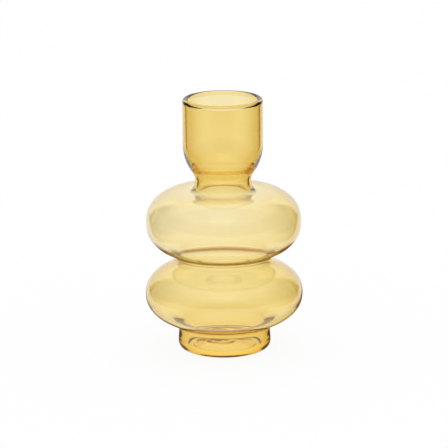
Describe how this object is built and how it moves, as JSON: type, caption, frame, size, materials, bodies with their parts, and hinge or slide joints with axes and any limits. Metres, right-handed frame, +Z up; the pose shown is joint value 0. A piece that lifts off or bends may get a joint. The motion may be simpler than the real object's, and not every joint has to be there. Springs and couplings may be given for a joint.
{
  "type": "glass vase",
  "caption": "Amber glass vase with a round-bottomed cup over stacked flattened bubbles on a short foot, open through its neck to hold flower stems in water.",
  "frame": {"origin": "centre of the face that the vase stands on", "axes": "+Z up along the vase's axis, towards the mouth"},
  "size_m": [0.12, 0.12, 0.195],
  "materials": {
    "amber_glass": "clear polished amber glass, deeper in colour where it is thicker"
  },
  "bodies": {
    "root": {"base_disc": "amber_glass", "foot_ring": "amber_glass", "lower_bubble": "amber_glass", "waist_collar": "amber_glass", "upper_bubble": "amber_glass", "neck_collar": "amber_glass", "cup": "amber_glass", "rim_bead": "amber_glass"}
  },
  "joints": []
}
